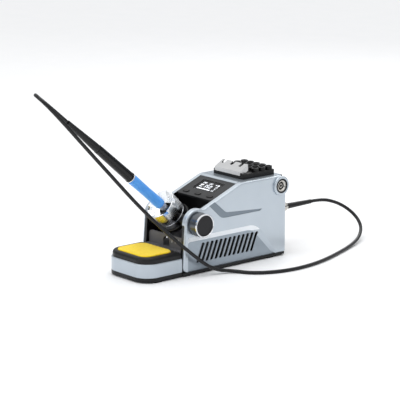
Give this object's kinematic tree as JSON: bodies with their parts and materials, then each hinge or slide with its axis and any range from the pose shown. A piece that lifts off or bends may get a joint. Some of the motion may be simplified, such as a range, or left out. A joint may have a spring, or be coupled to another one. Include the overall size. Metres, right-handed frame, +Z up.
{
  "type": "soldering iron station",
  "caption": "Bench soldering station with a tilting iron holder, corded pen iron, sloping display panel, sponge tray and a rack for spare tips.",
  "frame": {"origin": "middle of the underside, on the table, under the front of the control housing", "axes": "+Z up, -Y towards the sponge tray's nose, +X the user's right, the side of the tilt knob"},
  "size_m": [0.1688, 0.58, 0.2767],
  "materials": {
    "silver_paint": "satin painted alloy",
    "black_plastic": "fine texture",
    "crown_plastic": "bright plated plastic",
    "black_rubber": "matte",
    "blue_silicone": "soft sheen",
    "yellow_sponge": "open cells",
    "chrome_tube": "polished",
    "stainless": "brushed",
    "brass_parts": "turned",
    "nickel_metal": "turned",
    "clear_window": "clear acrylic",
    "green_board": "solder mask",
    "iron_and_copper": "varnished laminations",
    "bare_aluminium": "extruded"
  },
  "bodies": {
    "station": {"base_cover": "black_plastic", "base_screws": "stainless", "board_standoffs": "brass_parts", "display_board": "green_board", "display_fascia": "black_plastic", "display_screen": "black_plastic", "display_window": "clear_window", "earth_jack": "nickel_metal", "earth_jack_nut": "stainless", "filter_capacitors": "bare_aluminium", "foot_frame": "black_rubber", "heat_sink": "bare_aluminium", "inlet_contacts": "brass_parts", "inner_housing": "black_plastic", "iron_cord": "black_rubber", "iron_socket": "nickel_metal", "left_side_shell": "silver_paint", "main_board": "green_board", "mains_inlet": "black_plastic", "plug_boot": "black_rubber", "plug_insert": "black_plastic", "plug_lock_ring": "nickel_metal", "plug_shell": "nickel_metal", "rear_panel": "black_plastic", "rear_panel_screws": "stainless", "recess_floor": "black_plastic", "right_side_shell": "silver_paint", "socket_nut": "stainless", "socket_pins": "black_plastic", "switch_frame": "black_plastic", "tact_switches": "black_plastic", "tip_bushes": "black_plastic", "tip_puller_plate": "stainless", "tip_rack": "black_plastic", "top_deck": "silver_paint", "transformer": "iron_and_copper", "tray_shell": "silver_paint"},
    "holder": {"holder_tube": "chrome_tube", "holder_end_cap": "black_plastic", "crown_ring": "crown_plastic", "holder_liner": "black_plastic", "holder_yoke": "black_plastic", "right_pivot_pin": "stainless", "left_pivot_pin": "stainless", "friction_washers": "stainless"},
    "iron": {"iron_grip": "blue_silicone", "iron_barrel": "black_plastic", "iron_boot": "black_rubber", "iron_core": "stainless", "iron_collar": "stainless", "iron_tip": "stainless"},
    "knob": {"knob_shell": "black_plastic", "knob_ring_bright": "chrome_tube", "knob_face": "black_plastic"},
    "down_key": {"down_button": "black_plastic"},
    "set_key": {"set_button": "black_plastic"},
    "up_key": {"up_button": "black_plastic"},
    "rocker": {"switch_rocker": "black_plastic"},
    "insert": {"tray_insert": "black_plastic"},
    "cleaning_sponge": {"sponge": "yellow_sponge"}
  },
  "joints": [
    {"name": "holder_tilt", "type": "hinge", "parent": "station", "child": "holder", "pos_m": [0, -0.041, 0.072], "axis": [1, 0, 0], "range_deg": [-20, 15], "deforming": ["iron_cord"]},
    {"name": "iron_lift", "type": "slide", "parent": "holder", "child": "iron", "axis": [0, -0.7604, 0.6494], "range_m": [0, 0.055], "deforming": ["iron_cord"]},
    {"name": "knob_turn", "type": "hinge", "parent": "station", "child": "knob", "pos_m": [0, -0.041, 0.072], "axis": [1, 0, 0], "range_deg": [0, 180]},
    {"name": "down_press", "type": "slide", "parent": "station", "child": "down_key", "axis": [0, 0.3665, -0.9304], "range_m": [0, 0.0006], "stiffness_N_per_m": 600, "springref_m": -0.0005},
    {"name": "set_press", "type": "slide", "parent": "station", "child": "set_key", "axis": [0, 0.3665, -0.9304], "range_m": [0, 0.0006], "stiffness_N_per_m": 600, "springref_m": -0.0005},
    {"name": "up_press", "type": "slide", "parent": "station", "child": "up_key", "axis": [0, 0.3665, -0.9304], "range_m": [0, 0.0006], "stiffness_N_per_m": 600, "springref_m": -0.0005},
    {"name": "rocker_tip", "type": "hinge", "parent": "station", "child": "rocker", "pos_m": [0, 0.125, 0.092], "axis": [1, 0, 0], "range_deg": [-14, 0]},
    {"name": "insert_lift", "type": "slide", "parent": "station", "child": "insert", "axis": [0, 0, 1], "range_m": [0, 0.012]},
    {"name": "sponge_lift", "type": "slide", "parent": "insert", "child": "cleaning_sponge", "axis": [0, 0, 1], "range_m": [0, 0.013]}
  ]
}
